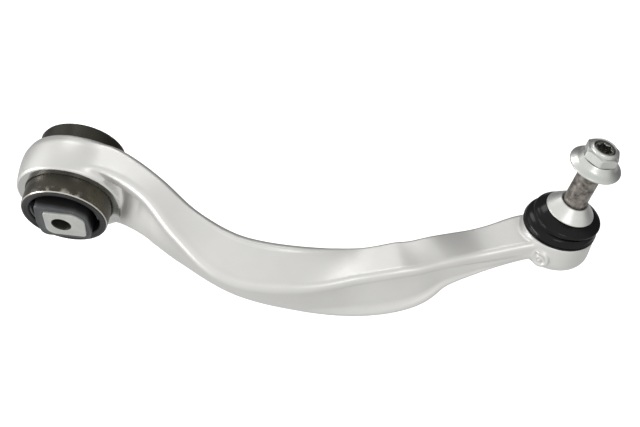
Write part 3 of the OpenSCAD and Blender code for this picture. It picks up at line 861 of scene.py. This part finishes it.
def ball_stud():
    n = 144
    t = np.arange(n) * 2 * math.pi / n
    levels = []
    for a in np.linspace(-88, 58, 60):
        levels.append((13.5 * math.cos(math.radians(a)), 13.5 * math.sin(math.radians(a)), 0))
    for r, z in ((6.6, 12.4), (6.4, 13.6), (6.4, 21.8), (6.55, 22.5), (7.55, 26.6), (7.7, 27.3)):
        levels.append((r, z, 0))
    for z in np.linspace(28, 59.6, 40):
        levels.append((7.7 + 0.03 * math.sin(z * 1.9) * math.sin(z * 0.7), z, 0))
    for r, z in ((7.55, 60.1), (7.2, 60.4), (6.3, 60.45), (6.1, 60.7), (6.1, 61.2)):
        levels.append((r, z, 0))
    for z in np.arange(61.3, 76.21, PITCH / 12):
        levels.append((7.0, z, 1))
    for r, z in ((6.4, 76.35), (6.05, 76.75), (5.7, 76.95), (5.35, 77.0)):
        levels.append((r, z, 0))
    rings = []
    for r, z, thread in levels:
        if thread:
            ph = (z / PITCH - t / (2 * math.pi)) % 1
            tri = np.abs(ph - 0.5) * 2
            cut = np.clip((tri - 0.12) / 0.76, 0, 1)
            start = smooth(np.array((z - 61.3) / 2.0)) * smooth(np.array((76.4 - z) / 1.2))
            rr = 6.1 + 0.88 * cut * start
        else:
            rr = r
        rings.append(circle(t, rr, z))

    for mid, depth, z in ((4.95, 0.42, 76.85), (4.75, 0.50, 76.5), (4.65, 0.55, 76.0), (4.65, 0.55, 70.5),
                          (3.4, 0.25, 70.2), (1.2, 0.0, 69.6), (0.02, 0, 69.4)):
        rings.append(circle(t, mid + depth * np.cos(6 * t), z))
    v, f = loops(rings, closed=False)
    o = make("stud", v @ STUD.T + BALL, f, "stud", SHANK, "stud_steel", ("ball_stud",), sharp=38)
    weld(o, 0.06)
    o.data.materials.append(SOCKET)
    for q in o.data.polygons:
        c = (np.array(q.center) / MM - BALL) @ STUD
        if c[2] > 70 and math.hypot(c[0], c[1]) < 5.5:
            q.material_index = 1


ball_stud()

# ---- nut ----

WASHER_PROFILE = [(7.05, 63.6, 0.2), (8.9, 63.6, 0.3), (9.7, 61.6, 0.3), (16.4, 61.6, 0.5),
                  (17.2, 62.1, 0.5), (17.25, 63.1, 0.5), (16.2, 63.9, 1.6), (13.4, 65.6, 6),
                  (11.6, 68.6, 2.0), (11.2, 69.1, 0.3), (7.05, 69.1, 0.2)]
lathe("captive_washer", WASHER_PROFILE, STUD, BALL, n=144, seg=7, body="washer", material=NUT,
      slot="nut_steel", replaces=("nut_washer",))


def hexagon(t, flats, turn=44.0, p=46):
    """Radius of a hexagon with slightly rounded corners at angle t."""
    a = t[:, None] - math.radians(turn) - np.arange(6) * math.pi / 3 - math.pi / 6
    return flats / 2 / (np.maximum(np.cos(a), 0) ** p).sum(1) ** (1 / p)


def lock_nut():
    n = 288
    t = np.arange(n) * 2 * math.pi / n
    hx = hexagon(t, 21.0)
    top = 75.7 - np.maximum(hx - 10.4, 0) * math.tan(math.radians(28))
    low = 69.4 + np.maximum(hx - 11.2, 0) * math.tan(math.radians(25))
    rings = []

    def add(r, z):
        rings.append(circle(t, r, z))

    add(7.1, 69.4)
    add(9.9, 69.4)
    add(np.minimum(hx - 0.25, 11.0), 69.4)
    add(np.minimum(hx, 11.25), 69.55)
    add(hx, low + 0.2)
    for s in (0.3, 0.6):
        add(hx, low + 0.2 + (top - 0.15 - low - 0.2) * s)
    add(hx, top - 0.15)
    add(hx - 0.08, top - 0.03)
    add(hx - 0.25, top + 0.08)
    add(np.minimum(hx - 0.6, 10.4), np.minimum(top + 0.3, 75.7))
    add(9.6, 75.75)
    add(9.1, 75.9)
    add(8.9, 76.3)
    for a in (0, 18, 36, 54, 72, 90):
        add(7.5 + 1.35 * math.cos(math.radians(a)), 76.55 + 1.35 * math.sin(math.radians(a)))
    add(7.3, 77.8)
    add(7.15, 77.5)
    add(7.15, 76.9)
    add(7.8, 76.75)
    add(7.8, 74.5)
    add(7.1, 74.3)
    v, f = loops(rings)
    o = make("hex_nut", v @ STUD.T + BALL, f, "nut", NUT, "nut_steel", ("lock_nut",), sharp=32)
    weld(o)


lock_nut()
INSERT_PROFILE = [(7.0, 74.5, 0.2), (7.78, 74.5, 0.1), (7.78, 76.7, 0.1), (7.1, 76.7, 0.2), (6.85, 76.0, 0.3)]
lathe("lock_insert", INSERT_PROFILE, STUD, BALL, n=120, body="nut", material=INSERT,
      slot="insert_nylon", replaces=("nut_lock_insert",))

# ---- CAD nodes that stay as they are ----

for name, mat in (("travel_stop", STOP), ("window_cage", CAGE), ("fluid_channel_upper", CHANNEL),
                  ("fluid_channel_lower", CHANNEL), ("ball_seat", SEAT), ("boot_clamp_ring", WIRE),
                  ("boot_lip_spring", WIRE)):
    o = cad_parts[name]
    o.data.materials.clear()
    o.data.materials.append(mat)
    for p in o.data.polygons:
        p.material_index = 0

# ---- studio ----

scene = bpy.context.scene
scene.view_settings.view_transform = "Standard"
world = bpy.data.worlds.new("studio")
scene.world = world
world.use_nodes = True
wt = world.node_tree
background = wt.nodes["Background"]
sky = wt.nodes.new("ShaderNodeTexCoord")
toward = node(wt, "ShaderNodeVectorMath", operation="DOT_PRODUCT")
toward.inputs[1].default_value = (-0.12, -0.53, 0.49)
wt.links.new(sky.outputs["Generated"], toward.inputs[0])
room = ramp(wt, spread(wt, toward.outputs["Value"], 0, 1, -0.8, 0.8),
            [(0.0, (0.05, 0.05, 0.05)), (0.16, (0.08, 0.08, 0.08)), (0.36, (0.25, 0.25, 0.247)),
             (0.49, (0.58, 0.58, 0.57)), (0.62, (0.68, 0.68, 0.665)), (1.0, (0.78, 0.78, 0.765))])
split = wt.nodes.new("ShaderNodeSeparateXYZ")
wt.links.new(sky.outputs["Generated"], split.inputs["Vector"])
table = spread(wt, split.outputs["Z"], 1, 0, -0.95, -0.35)
wt.links.new(mix(wt, table, room, (0.62, 0.62, 0.615)), background.inputs["Color"])
background.inputs["Strength"].default_value = 1.16

floor_mat, ft, fb = material("floor_pale")
ft.links.new(ramp(ft, noise(ft, 4, 2), [(0.3, (0.93, 0.93, 0.93)), (0.7, (0.95, 0.95, 0.95))]),
             fb.inputs["Base Color"])
fb.inputs["Roughness"].default_value = 0.9
fb.inputs["Specular IOR Level"].default_value = 0.1
fb.inputs["Emission Color"].default_value = (1, 1, 1, 1)
fb.inputs["Emission Strength"].default_value = 0.45
fl = make("floor", [(-9000, -9000, -260), (9000, -9000, -260), (9000, 9000, -260), (-9000, 9000, -260)],
          [(0, 1, 2, 3)], None, floor_mat, sharp=None)
fl.visible_diffuse = False
fl.visible_glossy = False


def softbox(name, pos, aim, size, power):
    """A rectangular area light at pos, in metres and watts, turned towards aim."""
    d = bpy.data.lights.new(name, "AREA")
    d.shape = "RECTANGLE"
    d.size, d.size_y = size
    d.energy = power
    o = bpy.data.objects.new(name, d)
    scene.collection.objects.link(o)
    o.location = pos
    o.rotation_euler = (Vector(aim) - Vector(pos)).to_track_quat("-Z", "Y").to_euler()


softbox("left", (-0.42, 0.28, 0.23), (0.0, 0, 0), (0.40, 0.36), 0.20)
softbox("back", (-0.15, 0.86, 0.68), (0.2, 0, 0), (0.42, 0.42), 1.55)
softbox("front", (0.62, -0.85, 1.3), (0.3, 0, 0), (0.6, 0.4), 2.4)
softbox("strip", (-0.62, -0.27, 0.16), (0.33, 0, 0.015), (0.6, 0.16), 2.2)

cam_data = bpy.data.cameras.new("camera")
cam_data.lens = 89.49   # millimetres, on a 36 mm sensor
cam_data.sensor_width = 36
cam_data.sensor_fit = "HORIZONTAL"
cam_data.clip_start = 0.02
cam = bpy.data.objects.new("camera", cam_data)
scene.collection.objects.link(cam)
right = Vector((0.98152, 0.17350, -0.08074))
up = Vector((-0.10502, 0.84105, 0.53067))
back = Vector((0.15998, -0.51238, 0.84373))
cam.matrix_world = Matrix(((right.x, up.x, back.x, 0.34187), (right.y, up.y, back.y, -0.54721),
                           (right.z, up.z, back.z, 0.89428), (0, 0, 0, 1)))
scene.camera = cam
